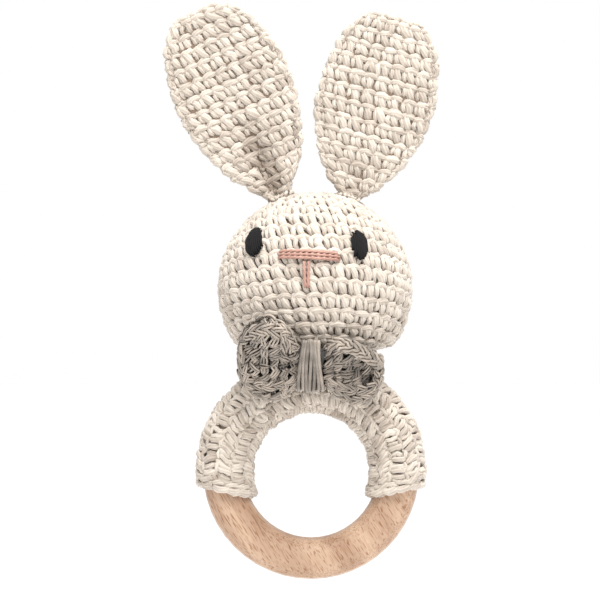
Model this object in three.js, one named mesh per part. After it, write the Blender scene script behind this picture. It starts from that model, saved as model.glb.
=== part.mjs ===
// A crocheted bunny rattle on a wooden teething ring.
// Millimetres. +Z runs up through the ring, the neck and the head, and the face looks along -Y.
// The origin is the centre of the ring, where a hand closes round it. "left" is the -X side.
import * as THREE from 'three';

// ---- Driving dimensions ----------------------------------------------------------------------

const GAP = 0.3;
const YARN_RADIUS = 0.6;

// The turned beech ring: a rounded square section with narrow flats.
const RING_OUTER_RADIUS = 35;
const RING_INNER_RADIUS = 21.6;
const RING_THICKNESS = 12;
const RING_CORNER_RADIUS = 5;

// The crocheted sleeve round the upper part of the ring.
const SLEEVE_RADIUS = 9.6;
const SLEEVE_CENTRE_RADIUS = 28.1;
const SLEEVE_BORE_GAP = 0.35;
const SLEEVE_END_DISTANCE = 9;
const SLEEVE_END_SLOPE = THREE.MathUtils.degToRad(7);

// The stuffed head: a ball with a flat, rounded-off base over the neck opening.
const HEAD_CENTRE = new THREE.Vector3(1.3, 0, 59.1);
const HEAD_RADIUS = 32;
const HEAD_WALL = 3;
const HEAD_BASE_DROP = 20.2;
const HEAD_BASE_FILLET = 5;
const NECK_OPENING_RADIUS = 9;
const NECK_SEAM_RADIUS = 7.5;

// The rattle capsule and its beads, in the middle of the stuffing.
const CAPSULE_RISE = 3;
const CAPSULE_RADIUS = 12;
const CAPSULE_WALL = 1;
const CAPSULE_RIM_RADIUS = 13.2;
const CAPSULE_RIM_THICKNESS = 0.8;
const BEAD_COUNT = 6;
const BEAD_RADIUS = 2;
const BEAD_LANE_RADIUS = 5.2;

// The flat ears, as [distance from the base, half width] down each ear's own axis.
const EAR_HALF_THICKNESS = 2.7;
const EAR_BASE_HALF_THICKNESS = 3.6;
const EAR_CUP = 1.8;
const EAR_PINCH_LENGTH = 8;
const EAR_TIP_WIDTH = 9;
const EAR_BASE_ROUNDING = [0.96, 0.8, 0.5];
const EAR_SEAM_CLEARANCE = 1.5;
const EARS = [
  {
    side: 'left',
    pivotAngle: THREE.MathUtils.degToRad(-20.9),
    lean: THREE.MathUtils.degToRad(-24),
    outline: [
      [0, 4.4], [5, 8.4], [12, 13.4], [24, 17.7], [38, 19.8],
      [50, 18.3], [60, 14.2], [65.3, 7.6], [66.8, 0],
    ],
  },
  {
    side: 'right',
    pivotAngle: THREE.MathUtils.degToRad(19.6),
    lean: THREE.MathUtils.degToRad(15.3),
    outline: [
      [0, 3.9], [3, 8], [8, 12.2], [14, 15.3], [24, 18.5],
      [36, 19.2], [48, 17.1], [55, 13.4], [59.4, 7.4], [60.8, 0],
    ],
  },
];

// The embroidered face, by angles on the head's ball. Longitude 0 is straight ahead (-Y).
const EYES = {
  left: { latitude: 28.2, longitude: -43.8 },
  right: { latitude: 26.1, longitude: 28.7 },
};
const EYE_HALF_WIDTH = 3.5;
const EYE_HALF_HEIGHT = 5.3;
const EYE_THICKNESS = 1;
const FACE_YARN_RADIUS = 0.55;
const NOSE_LATITUDE = 18.2;
const NOSE_RISE = 2.2;
const NOSE_LONGITUDES = [-24, 15.5];
const NOSE_OUTER_STRAND_INSET = 2.5;
const NOSE_STRAND_SPACING = 2.5;
const MOUTH_LATITUDES = [15.9, 0.5];
const MOUTH_LONGITUDE = -5.4;
const MOUTH_STRAND_SPACING = 2.6;

// The bow under the chin, as [x, middle height, half height, thickness] at each section.
const BOW_BACK_Y = -12.4;
const BOW_LEAN = 21.8;
const BOW_LEAN_HEIGHTS = [24, 50];
const BOW_WRAP_ROUND_HEAD = 0.022;
const BOW_SECTIONS = [
  [-23.2, 36.5, 3.5, 2.5],
  [-22, 36.6, 7.5, 4.5],
  [-18.8, 36.8, 11.3, 6.5],
  [-14, 37.2, 13.4, 7.5],
  [-8.5, 36.4, 11.6, 7],
  [-5.2, 34.7, 6.4, 4.6],
  [5.2, 34.7, 6.4, 4.6],
  [8.5, 34, 8.8, 6.6],
  [13, 32.4, 9.8, 7],
  [18, 32, 8.2, 6],
  [21.4, 32.4, 5, 4.2],
  [22.6, 32.6, 2.4, 2.5],
];
const KNOT_HALF_WIDTHS = { top: 2.4, bottom: 4.4 };
const KNOT_THICKNESS = 1.5;

// ---- Materials -------------------------------------------------------------------------------

const creamYarn = { color: '#e8dfd0', roughness: 0.95, metalness: 0 };
const greyYarn = { color: '#8d867d', roughness: 0.8, metalness: 0 };
const blackYarn = { color: '#1d1c1c', roughness: 0.9, metalness: 0 };
const pinkYarn = { color: '#d98f7c', roughness: 0.85, metalness: 0 };
const beechWood = { color: '#e2bd8f', roughness: 0.5, metalness: 0 };
const whiteFibre = { color: '#f4f4f2', roughness: 1, metalness: 0 };
const clearPlastic = { color: '#dfe6ea', roughness: 0.35, metalness: 0 };
const beadPlastic = { color: '#c9d2d8', roughness: 0.4, metalness: 0 };

// ---- Helpers ---------------------------------------------------------------------------------

const object = new THREE.Group();

function addPiece(name, geometry, look, parent = object) {
  const piece = new THREE.Mesh(geometry, new THREE.MeshStandardMaterial(look));
  piece.name = name;
  parent.add(piece);
  return piece;
}

function signedVolume(geometry) {
  const place = geometry.getAttribute('position');
  const index = geometry.getIndex();
  const corners = [new THREE.Vector3(), new THREE.Vector3(), new THREE.Vector3()];
  let volume = 0;
  for (let first = 0; first < index.count; first += 3) {
    corners.forEach((corner, step) => corner.fromBufferAttribute(place, index.getX(first + step)));
    volume += corners[0].dot(corners[1].clone().cross(corners[2])) / 6;
  }
  return volume;
}

// Turns every triangle round when the surface would otherwise face inwards.
function facingOut(geometry) {
  if (signedVolume(geometry) < 0) {
    const index = geometry.getIndex();
    for (let first = 0; first < index.count; first += 3) {
      const second = index.getX(first + 1);
      index.setX(first + 1, index.getX(first + 2));
      index.setX(first + 2, second);
    }
  }
  return geometry;
}

// A closed skin over rings of points. The last ring joins the first one when the rings wrap round;
// otherwise a fan to its middle closes each end.
function skinOver(rings, wraps) {
  const perRing = rings[0].length;
  const points = rings.flat();
  const triangles = [];
  const corner = (ring, step) => (ring % rings.length) * perRing + (step % perRing);
  const bands = wraps ? rings.length : rings.length - 1;
  for (let ring = 0; ring < bands; ring += 1) {
    for (let step = 0; step < perRing; step += 1) {
      const here = corner(ring, step);
      const beside = corner(ring, step + 1);
      const next = corner(ring + 1, step);
      const across = corner(ring + 1, step + 1);
      triangles.push(here, beside, across, here, across, next);
    }
  }
  if (!wraps) {
    for (const ring of [0, rings.length - 1]) {
      const middle = new THREE.Vector3();
      rings[ring].forEach((point) => middle.addScaledVector(point, 1 / perRing));
      points.push(middle);
      for (let step = 0; step < perRing; step += 1) {
        const edge = [corner(ring, step), corner(ring, step + 1)];
        triangles.push(points.length - 1, ...(ring === 0 ? edge.reverse() : edge));
      }
    }
  }
  const geometry = new THREE.BufferGeometry().setFromPoints(points);
  geometry.setIndex(triangles);
  return facingOut(geometry);
}

// Evenly spaced steps from 0 to 1; a loop leaves out the last one, which is the first again.
function steps(count, isLoop = false) {
  return Array.from({ length: isLoop ? count : count + 1 }, (_, step) => step / count);
}

// A yarn of round section that closes on itself, along a curve given as a function of 0 to 1.
function yarnLoop(placeAt, radius, stepCount, sides = 8) {
  const nudge = 0.001;
  const rings = steps(stepCount, true).map((share) => {
    const centre = placeAt(share);
    const along = placeAt(share + nudge).sub(placeAt(share - nudge)).normalize();
    const side = new THREE.Vector3(-along.y, along.x, 0).normalize();
    const up = new THREE.Vector3().crossVectors(along, side);
    return steps(sides, true).map((turn) => {
      const angle = turn * 2 * Math.PI;
      const reach = side.clone().multiplyScalar(Math.cos(angle) * radius);
      return centre.clone().add(reach).addScaledVector(up, Math.sin(angle) * radius);
    });
  });
  return skinOver(rings, true);
}

// A yarn of round section with two ends.
function yarnStrand(curve, radius, stepCount, sides = 8) {
  const section = new THREE.Shape(arcPoints(0, 0, radius, 0, 360, sides).slice(0, -1));
  return new THREE.ExtrudeGeometry(section, { extrudePath: curve, steps: stepCount });
}

// Points along an arc in a flat profile, with angles in degrees.
function arcPoints(centreX, centreY, radius, fromDegrees, toDegrees, count) {
  return steps(count).map((share) => {
    const angle = THREE.MathUtils.degToRad(THREE.MathUtils.lerp(fromDegrees, toDegrees, share));
    return new THREE.Vector2(centreX + radius * Math.cos(angle), centreY + radius * Math.sin(angle));
  });
}

// A turned body from a profile of [radius, height] points.
function turned(profile, segments) {
  return facingOut(new THREE.LatheGeometry(profile, segments));
}

// A place on the head's ball, at a distance above its surface.
function onHead(latitudeDegrees, longitudeDegrees, above) {
  const latitude = THREE.MathUtils.degToRad(latitudeDegrees);
  const longitude = THREE.MathUtils.degToRad(longitudeDegrees);
  const direction = new THREE.Vector3(
    Math.cos(latitude) * Math.sin(longitude),
    -Math.cos(latitude) * Math.cos(longitude),
    Math.sin(latitude),
  );
  return direction.multiplyScalar(HEAD_RADIUS + above).add(HEAD_CENTRE);
}

// ---- The ring and its sleeve -----------------------------------------------------------------

const RING_MIDDLE_RADIUS = (RING_OUTER_RADIUS + RING_INNER_RADIUS) / 2;
const SECTION_CORNER_STEPS = 3;

// The ring's rounded square section, grown by a margin, as [radius, y] points round its edge.
function ringSection(margin, cornerSteps) {
  const halfWidth = (RING_OUTER_RADIUS - RING_INNER_RADIUS) / 2 - RING_CORNER_RADIUS;
  const halfDepth = RING_THICKNESS / 2 - RING_CORNER_RADIUS;
  const corners = [[1, 1], [-1, 1], [-1, -1], [1, -1]];
  return corners.flatMap(([outward, back], quarter) => arcPoints(
    RING_MIDDLE_RADIUS + outward * halfWidth,
    back * halfDepth,
    RING_CORNER_RADIUS + margin,
    quarter * 90,
    quarter * 90 + 90,
    cornerSteps,
  ));
}

function makeWoodRing() {
  const section = ringSection(0, SECTION_CORNER_STEPS);
  addPiece('wood_ring', turned([...section, section[0]], 48), beechWood);
}

// The angle below the horizontal at which the sleeve's slanted end crosses a radius.
function sleeveEndAngle(radius) {
  return Math.asin(SLEEVE_END_DISTANCE / radius) - SLEEVE_END_SLOPE;
}

// A point of the sleeve, from its section's [radius, y] and its share of the way round the ring.
function onSleeve(point, share) {
  const endAngle = sleeveEndAngle(point.x);
  const angle = THREE.MathUtils.lerp(-endAngle, Math.PI + endAngle, share);
  return new THREE.Vector3(point.x * Math.cos(angle), point.y, point.x * Math.sin(angle));
}

// The sleeve is a bent tube: one skin runs along the outside, in through one end, back along the
// bore, and out through the other end.
function makeSleeve() {
  const bore = ringSection(SLEEVE_BORE_GAP, SECTION_CORNER_STEPS);
  const outside = bore.map((point) => {
    const reach = point.clone().sub(new THREE.Vector2(SLEEVE_CENTRE_RADIUS, 0)).normalize();
    return reach.multiplyScalar(SLEEVE_RADIUS).add(new THREE.Vector2(SLEEVE_CENTRE_RADIUS, 0));
  });
  const along = steps(24);
  const rings = [
    ...along.map((share) => outside.map((point) => onSleeve(point, share))),
    ...along.map((share) => bore.map((point) => onSleeve(point, 1 - share))),
  ];
  addPiece('ring_sleeve', skinOver(rings, true), creamYarn);
}

// The yarn that closes the sleeve along its back, after it is wrapped round the ring.
function makeSleeveSeam() {
  const standOff = SLEEVE_RADIUS + GAP + YARN_RADIUS;
  const seam = new THREE.CatmullRomCurve3(steps(16).map((share) => {
    const place = new THREE.Vector2(SLEEVE_CENTRE_RADIUS, standOff);
    return onSleeve(place, THREE.MathUtils.lerp(0.02, 0.98, share));
  }));
  addPiece('sleeve_seam', yarnStrand(seam, YARN_RADIUS, 30, 6), creamYarn);
}

// ---- The head --------------------------------------------------------------------------------

const head = new THREE.Group();
head.position.copy(HEAD_CENTRE);
head.rotation.x = Math.PI / 2;
object.add(head);

// Half of the head's outline, set in from its surface by a depth: from the top, round the ball and
// the rounded base, and in along the flat base to a radius.
function headOutline(depth, innerRadius, topDegrees = 90) {
  const filletRadius = HEAD_BASE_FILLET - depth;
  const filletHeight = HEAD_BASE_FILLET - HEAD_BASE_DROP;
  const filletCentre = Math.sqrt((HEAD_RADIUS - HEAD_BASE_FILLET) ** 2 - filletHeight ** 2);
  const joinDegrees = THREE.MathUtils.radToDeg(Math.atan2(filletHeight, filletCentre));
  return [
    ...arcPoints(0, 0, HEAD_RADIUS - depth, topDegrees, joinDegrees, 11),
    ...arcPoints(filletCentre, filletHeight, filletRadius, joinDegrees, -90, 3).slice(1),
    new THREE.Vector2(innerRadius, depth - HEAD_BASE_DROP),
  ];
}

function makeHeadShell() {
  const outside = headOutline(0, NECK_OPENING_RADIUS);
  const inside = headOutline(HEAD_WALL, NECK_OPENING_RADIUS).reverse();
  addPiece('head_shell', turned([...outside, ...inside], 32), creamYarn, head);
}

// The fibre filling, pulled into two halves round the capsule.
function makeStuffing() {
  const depth = HEAD_WALL + GAP;
  const surface = HEAD_RADIUS - depth;
  const pocket = CAPSULE_RIM_RADIUS + GAP;
  const split = CAPSULE_RISE + GAP / 2;
  const lowerSplit = CAPSULE_RISE - GAP / 2;
  const splitDegrees = THREE.MathUtils.radToDeg(Math.asin(split / surface));
  const lowerSplitDegrees = THREE.MathUtils.radToDeg(Math.asin(lowerSplit / surface));
  const pocketStart = THREE.MathUtils.radToDeg(Math.asin((split - CAPSULE_RISE) / pocket));
  const upper = [
    ...arcPoints(0, 0, surface, 90, splitDegrees, 7),
    ...arcPoints(0, CAPSULE_RISE, pocket, pocketStart, 90, 5),
  ];
  const lower = [
    ...arcPoints(0, CAPSULE_RISE, pocket, -90, -pocketStart, 5),
    ...headOutline(depth, 0, lowerSplitDegrees),
  ];
  addPiece('stuffing_upper', turned(upper, 20), whiteFibre, head);
  addPiece('stuffing_lower', turned(lower, 20), whiteFibre, head);
}

// The capsule's two halves, which meet rim to rim and shut the beads in.
function makeCapsule() {
  const inner = CAPSULE_RADIUS - CAPSULE_WALL;
  const rimBottom = -GAP / 2 - CAPSULE_RIM_THICKNESS;
  const outerStart = THREE.MathUtils.radToDeg(Math.asin(rimBottom / CAPSULE_RADIUS));
  const innerStart = THREE.MathUtils.radToDeg(Math.asin(-GAP / 2 / inner));
  const profile = [
    ...arcPoints(0, 0, CAPSULE_RADIUS, -90, outerStart, 6),
    new THREE.Vector2(CAPSULE_RIM_RADIUS, rimBottom),
    new THREE.Vector2(CAPSULE_RIM_RADIUS, -GAP / 2),
    ...arcPoints(0, 0, inner, innerStart, -90, 6),
  ];
  const lower = addPiece('capsule_lower', turned(profile, 24), clearPlastic, head);
  const upper = addPiece('capsule_upper', turned(profile, 24), clearPlastic, head);
  lower.position.y = CAPSULE_RISE;
  upper.position.y = CAPSULE_RISE;
  upper.rotation.x = Math.PI;
}

// The beads lie at the bottom of the capsule, each in its own upright lane.
function makeBeads() {
  const reach = CAPSULE_RADIUS - CAPSULE_WALL - BEAD_RADIUS - GAP;
  const drop = Math.sqrt(reach ** 2 - BEAD_LANE_RADIUS ** 2);
  for (let number = 1; number <= BEAD_COUNT; number += 1) {
    const angle = (number / BEAD_COUNT) * 2 * Math.PI;
    const ball = new THREE.SphereGeometry(BEAD_RADIUS, 10, 6);
    const bead = addPiece(`bead_${number}`, ball, beadPlastic, head);
    const lane = new THREE.Vector2(Math.cos(angle), Math.sin(angle)).multiplyScalar(BEAD_LANE_RADIUS);
    bead.position.set(lane.x, CAPSULE_RISE - drop, lane.y);
  }
}

// The yarn that sews the head's base down to the top of the sleeve, lying on the sleeve's saddle.
function makeNeckStitches() {
  const reach = SLEEVE_RADIUS + GAP + YARN_RADIUS;
  const seamAt = (share) => {
    const x = NECK_SEAM_RADIUS * Math.cos(share * 2 * Math.PI);
    const y = NECK_SEAM_RADIUS * Math.sin(share * 2 * Math.PI);
    const outer = SLEEVE_CENTRE_RADIUS + Math.sqrt(reach ** 2 - y ** 2);
    return new THREE.Vector3(x, y, Math.sqrt(outer ** 2 - x ** 2));
  };
  addPiece('neck_stitches', yarnLoop(seamAt, YARN_RADIUS, 20, 6), creamYarn);
}

// ---- The ears --------------------------------------------------------------------------------

// An ear stands on its pivot, a rounded base just clear of the head. Its middle surface is cupped
// forwards, most of all where the base is pinched together.
function earGeometry(outline) {
  const curve = new THREE.SplineCurve(outline.map(([height, width]) => new THREE.Vector2(height, width)));
  const rings = curve.getSpacedPoints(17).slice(0, -1).map((point) => {
    const pinch = Math.exp(-point.x / EAR_PINCH_LENGTH);
    const bodyThickness = THREE.MathUtils.lerp(EAR_HALF_THICKNESS, EAR_BASE_HALF_THICKNESS, pinch);
    const tipRounding = Math.sqrt(Math.min(1, point.y / EAR_TIP_WIDTH));
    const thickness = bodyThickness * tipRounding;
    return steps(16, true).map((turn) => {
      const angle = turn * 2 * Math.PI;
      const across = Math.cos(angle);
      const depth = Math.sign(Math.sin(angle)) * Math.abs(Math.sin(angle)) ** 0.8;
      const cup = EAR_CUP * (1 - pinch) * (0.5 - across ** 2);
      const height = point.x - EAR_BASE_HALF_THICKNESS;
      return new THREE.Vector3(point.y * across, thickness * depth + cup, height);
    });
  });
  const base = rings[0];
  const roundedBase = EAR_BASE_ROUNDING.map((share) => base.map((point) => {
    const drop = EAR_BASE_HALF_THICKNESS * Math.sqrt(1 - share ** 2);
    const spread = 1 - 0.25 * (1 - share);
    return new THREE.Vector3(point.x * spread, point.y * share, 0.01 - drop);
  }));
  return [roundedBase, rings];
}

function makeEar({ side, pivotAngle, lean, outline }) {
  const pivotReach = HEAD_RADIUS + GAP + EAR_BASE_HALF_THICKNESS;
  const outward = new THREE.Vector3(Math.sin(pivotAngle), 0, Math.cos(pivotAngle));
  const pivot = HEAD_CENTRE.clone().addScaledVector(outward, pivotReach);
  const [roundedBase, rings] = earGeometry(outline);
  const above = rings.filter((ring) => ring[0].z > 0.5);
  const ear = addPiece(`${side}_ear`, skinOver([...roundedBase.reverse(), ...above], false), creamYarn);
  ear.position.copy(pivot);
  ear.rotation.y = lean;
}

// The yarn that sews an ear down, lying on the head all round the ear's base.
function makeEarStitches({ side, pivotAngle, outline }) {
  const halfWidth = outline[0][1] + EAR_SEAM_CLEARANCE;
  const halfDepth = EAR_BASE_HALF_THICKNESS + EAR_SEAM_CLEARANCE;
  const lift = HEAD_RADIUS + GAP + YARN_RADIUS;
  const outward = new THREE.Vector3(Math.sin(pivotAngle), 0, Math.cos(pivotAngle));
  const sideways = new THREE.Vector3(Math.cos(pivotAngle), 0, -Math.sin(pivotAngle));
  const seamAt = (share) => {
    const across = halfWidth * Math.cos(share * 2 * Math.PI);
    const depth = halfDepth * Math.sin(share * 2 * Math.PI);
    const rise = Math.sqrt(lift ** 2 - across ** 2 - depth ** 2);
    const place = HEAD_CENTRE.clone().addScaledVector(outward, rise).addScaledVector(sideways, across);
    place.y += depth;
    return place;
  };
  addPiece(`${side}_ear_stitches`, yarnLoop(seamAt, YARN_RADIUS, 16, 6), creamYarn);
}

// ---- The face --------------------------------------------------------------------------------

// An eye is an oval patch of satin stitches, domed over the head's ball.
function makeEye(side, { latitude, longitude }) {
  const perDegree = THREE.MathUtils.degToRad(HEAD_RADIUS);
  const squeeze = Math.cos(THREE.MathUtils.degToRad(latitude));
  const ringAt = (share, above) => steps(12, true).map((turn) => {
    const angle = turn * 2 * Math.PI;
    const east = (share * EYE_HALF_WIDTH * Math.cos(angle)) / perDegree / squeeze;
    const north = (share * EYE_HALF_HEIGHT * Math.sin(angle)) / perDegree;
    return onHead(latitude + north, longitude + east, above);
  });
  const top = GAP + EYE_THICKNESS;
  const rings = [
    ringAt(0.5, GAP),
    ringAt(0.96, GAP),
    ringAt(1, GAP + EYE_THICKNESS / 2),
    ringAt(0.85, top - EYE_THICKNESS / 6),
    ringAt(0.45, top),
  ];
  addPiece(`${side}_eye`, skinOver(rings, false), blackYarn);
}

// The nose: three strands side by side across the muzzle, arched up in the middle.
function makeNose() {
  ['lower', 'middle', 'upper'].forEach((name, number) => {
    const [start, end] = NOSE_LONGITUDES;
    const inset = number === 1 ? 0 : NOSE_OUTER_STRAND_INSET;
    const curve = new THREE.CatmullRomCurve3(steps(8).map((share) => {
      const arch = Math.sin(share * Math.PI);
      const spread = (number - 1) * NOSE_STRAND_SPACING;
      const latitude = NOSE_LATITUDE + NOSE_RISE * arch + spread;
      const longitude = THREE.MathUtils.lerp(start + inset, end - inset, share);
      return onHead(latitude, longitude, GAP + FACE_YARN_RADIUS);
    }));
    addPiece(`nose_strand_${name}`, yarnStrand(curve, FACE_YARN_RADIUS, 10, 6), pinkYarn);
  });
}

// The mouth: two strands that run down from the nose and draw together.
function makeMouth() {
  ['left', 'right'].forEach((side, number) => {
    const [top, bottom] = MOUTH_LATITUDES;
    const longitude = MOUTH_LONGITUDE + (number - 0.5) * MOUTH_STRAND_SPACING;
    const curve = new THREE.CatmullRomCurve3(steps(5).map((share) => {
      const latitude = THREE.MathUtils.lerp(top, bottom, share);
      return onHead(latitude, longitude, GAP + FACE_YARN_RADIUS);
    }));
    addPiece(`mouth_strand_${side}`, yarnStrand(curve, FACE_YARN_RADIUS, 6, 6), pinkYarn);
  });
}

// ---- The bow ---------------------------------------------------------------------------------

// The back of the bow: upright against the sleeve, then leaning out under the chin and round it.
function bowBackY(x, z) {
  const lean = BOW_LEAN - BOW_WRAP_ROUND_HEAD * x ** 2;
  return BOW_BACK_Y - lean * THREE.MathUtils.smoothstep(z, ...BOW_LEAN_HEIGHTS);
}

// One point round a section of the bow, from its back (angle 0) by its top and its front.
function onBow(x, middle, halfHeight, thickness, angle, margin = 0) {
  const z = middle + (halfHeight + margin) * Math.sin(angle);
  const depth = thickness / 2 - (thickness / 2 + margin) * Math.cos(angle);
  return new THREE.Vector3(x, bowBackY(x, z) - depth, z);
}

// The bow is one crocheted strip, drawn in at its middle.
function makeBowPanel() {
  const rings = BOW_SECTIONS.map(([x, middle, halfHeight, thickness]) => (
    steps(16, true).map((turn) => onBow(x, middle, halfHeight, thickness, turn * 2 * Math.PI))
  ));
  addPiece('bow_panel', skinOver(rings, false), greyYarn);
}

// The knot: yarn wound round the drawn-in middle, spreading towards its lower end.
function makeBowKnot() {
  const [, middle, halfHeight, thickness] = BOW_SECTIONS[5];
  const inside = GAP + 0.2;
  const section = [
    [-1, inside],
    [1, inside],
    [1.05, inside + KNOT_THICKNESS / 2],
    [0.9, inside + KNOT_THICKNESS],
    [-0.9, inside + KNOT_THICKNESS],
    [-1.05, inside + KNOT_THICKNESS / 2],
  ];
  const rings = steps(20, true).map((turn) => {
    const angle = turn * 2 * Math.PI;
    const height = (1 + Math.sin(angle)) / 2;
    const halfWidth = THREE.MathUtils.lerp(KNOT_HALF_WIDTHS.bottom, KNOT_HALF_WIDTHS.top, height);
    return section.map(([side, margin]) => (
      onBow(side * halfWidth, middle, halfHeight, thickness, angle, margin)
    ));
  });
  addPiece('bow_knot', skinOver(rings, true), greyYarn);
}

// The sewing yarn that holds the bow's back to the underside of the chin.
function makeBowStitches() {
  const curve = new THREE.CatmullRomCurve3([
    new THREE.Vector3(-5.5, -19, 37.4),
    new THREE.Vector3(-5.8, -15.5, 37.9),
    new THREE.Vector3(0, -13.6, 38),
    new THREE.Vector3(5.8, -15.5, 37.9),
    new THREE.Vector3(5.5, -19, 37.4),
  ]);
  addPiece('bow_stitches', yarnStrand(curve, YARN_RADIUS / 2, 14, 6), greyYarn);
}

// ---- Assembly --------------------------------------------------------------------------------

makeWoodRing();
makeSleeve();
makeSleeveSeam();
makeNeckStitches();
makeHeadShell();
makeStuffing();
makeCapsule();
makeBeads();
EARS.forEach(makeEar);
EARS.forEach(makeEarStitches);
Object.entries(EYES).forEach(([side, place]) => makeEye(side, place));
makeNose();
makeMouth();
makeBowPanel();
makeBowKnot();
makeBowStitches();

export default object;
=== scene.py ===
"""The looks of a crocheted bunny rattle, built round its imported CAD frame. Everything is in metres."""

import math

import bpy
import numpy as np
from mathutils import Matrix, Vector
from mathutils.bvhtree import BVHTree


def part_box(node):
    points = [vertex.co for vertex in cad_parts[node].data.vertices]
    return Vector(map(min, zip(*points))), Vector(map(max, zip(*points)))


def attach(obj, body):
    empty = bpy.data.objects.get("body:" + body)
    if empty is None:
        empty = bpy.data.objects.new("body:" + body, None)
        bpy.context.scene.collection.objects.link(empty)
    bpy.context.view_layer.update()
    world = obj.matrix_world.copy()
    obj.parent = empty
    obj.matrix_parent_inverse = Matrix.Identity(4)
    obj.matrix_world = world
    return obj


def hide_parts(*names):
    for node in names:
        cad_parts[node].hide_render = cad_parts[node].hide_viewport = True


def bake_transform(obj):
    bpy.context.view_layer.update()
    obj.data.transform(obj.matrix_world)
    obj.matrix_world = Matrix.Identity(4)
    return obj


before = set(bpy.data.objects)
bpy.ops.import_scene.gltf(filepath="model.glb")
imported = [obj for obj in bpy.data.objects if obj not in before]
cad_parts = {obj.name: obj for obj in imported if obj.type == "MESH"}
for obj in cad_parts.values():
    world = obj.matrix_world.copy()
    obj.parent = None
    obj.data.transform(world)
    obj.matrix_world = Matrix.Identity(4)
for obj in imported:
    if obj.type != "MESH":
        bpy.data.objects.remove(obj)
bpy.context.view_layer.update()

MM = 0.001

# ---- Driving sizes ----

# The seed of each piece's own randomness.
SEEDS = {
    "head_crochet": 12, "left_ear_crochet": 21, "right_ear_crochet": 22, "sleeve_crochet": 31,
    "bow_crochet": 41, "bow_knot_yarn": 43, "left_ear_seam_yarn": 51, "right_ear_seam_yarn": 52,
    "neck_seam_yarn": 52, "sleeve_seam_yarn": 53, "left_eye_stitches": 61, "right_eye_stitches": 62,
}

# One crocheted stitch in the cream yarn, the yarn that makes it, and the ground behind it, darkened as
# painted shade where it shows between the stitches.
STITCH_WIDTH = 5.0 * MM
ROW_HEIGHT = 5.1 * MM
FEWEST_STITCHES = 5
LEG_RADIUS = 1.28 * MM
LEG_RADIUS_SPREAD = 0.08
BACKING_DEPTH = 2.3 * MM
BACKING_SHADE_TONE = 0.4

# The head's crochet: its pole leans back from the top, and its rounds end before the sewn neck.
HEAD_PUFF = 0.25 * MM
HEAD_POLE_LEAN = math.radians(-13)
HEAD_ROUNDS_END = 0.93

# The ears' lean and stitches, and the fold that pinches them together at the base. The darkening of each
# fold's hollow is painted shade.
EAR_LEANS = {"left": math.radians(-24), "right": math.radians(15.3)}
EAR_STITCH_WIDTH = 4.4 * MM
EAR_ROW_HEIGHT = 4.8 * MM
EAR_LEG_RADIUS = 1.3 * MM
EAR_PUFF = 0.6 * MM
EAR_BACKING_DEPTH = 1.2 * MM
EAR_FOLDS = {
    "left": {"depth": 4.2 * MM, "width": 3.4 * MM, "height": 10 * MM, "length": 11 * MM,
             "offset": -1.2 * MM, "dark": 0.3},
    "right": {"depth": 1.2 * MM, "width": 3.0 * MM, "height": 3 * MM, "length": 9 * MM,
              "offset": 1 * MM, "dark": 0.08},
}
EAR_FOLD_BACK = 0.3
EAR_WIDENING = 0.03
EAR_BASE_MARGIN = 0.4 * MM
EAR_BASE_LENGTH = 9 * MM
EAR_BASE_DROP = 3.5 * MM
EAR_BASE_SPREAD = -0.3
EAR_TIP_RISE = 3.4 * MM
EAR_TIP_NARROWING = 0.42
EAR_TIP_THICKNESS = 0.06

# The sleeve's rows, stitches and ground; the ground's darker tone is painted shade between the stitches.
SLEEVE_ROWS = 11
SLEEVE_STITCHES = 28
SLEEVE_LEG_RADIUS = 1.08 * MM
SLEEVE_TONE = 0.96
SLEEVE_PUFF = 0.3 * MM
SLEEVE_GROUND_DEPTHS = (1.7 * MM, 2.1 * MM)
SLEEVE_GROUND_SHADE_TONE = 0.55

# The chains along the sleeve's ends: each one's place in from the end, as a share of the sleeve, and
# its lift. The unit is about a millimetre along the sleeve.
EDGE_LINKS = 12
EDGE_LEG_RADIUS = 1.25 * MM
EDGE_RINGS = [(0.0, 0.25 * MM), (-0.002, -1.45 * MM)]
EDGE_UNIT = 1 / 105

# The seams' stitches: how far they run on past the seam, how deep their ends sink, and their unevenness.
SEAM_OVERSHOOT = 0.15
SEAM_SINK = 0.6
SEAM_JITTER = 0.12 * MM
EAR_SEAM_STITCHES = 14
EAR_SEAM_RADIUS = 0.6 * MM
EAR_SEAM_LIFTS = (0.9 * MM, 0.1 * MM)
EAR_SEAM_REACH = 0.035
SLEEVE_SEAM_STITCHES = 34
SLEEVE_SEAM_RADIUS = 0.7 * MM
SLEEVE_SEAM_BULGE = 0.5 * MM
SLEEVE_SEAM_HALF_WIDTH = 1.9 * MM
SLEEVE_SEAM_SLANT = 0.55
SLEEVE_SEAM_MARGIN = 0.03

# The neck's stitches, and the band behind them by (reach, height), where height 0 is on the sleeve
# and 1 is at the head's base. It bends over the blend's span. The band's darker tone is painted shade behind
# the stitches.
NECK_SEAM_STITCHES = 30
NECK_SEAM_RADIUS = 0.85 * MM
NECK_SEAM_REACHES = (8.4 * MM, 9.5 * MM)
NECK_SEAM_RISES = (-0.2 * MM, 0.9 * MM)
NECK_SEAM_BULGE = 0.9 * MM
NECK_BAND = [(8.4 * MM, -0.3), (9.1 * MM, 0.5), (9.3 * MM, 1.2)]
NECK_BAND_DEPTH = 0.5 * MM
NECK_BAND_SHADE_TONE = 0.6

# The bow's drawn-in middle and lean, as in the CAD model.
BOW_BACK_Y = -12.4 * MM
BOW_LEAN = 21.8 * MM
BOW_WRAP = 0.022 / MM
BOW_LEAN_HEIGHTS = (24 * MM, 50 * MM)
BOW_MIDDLE_HEIGHT = 34.7 * MM
BOW_MIDDLE_HALF_HEIGHT = 6.4 * MM
BOW_MIDDLE_THICKNESS = 4.6 * MM

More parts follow.
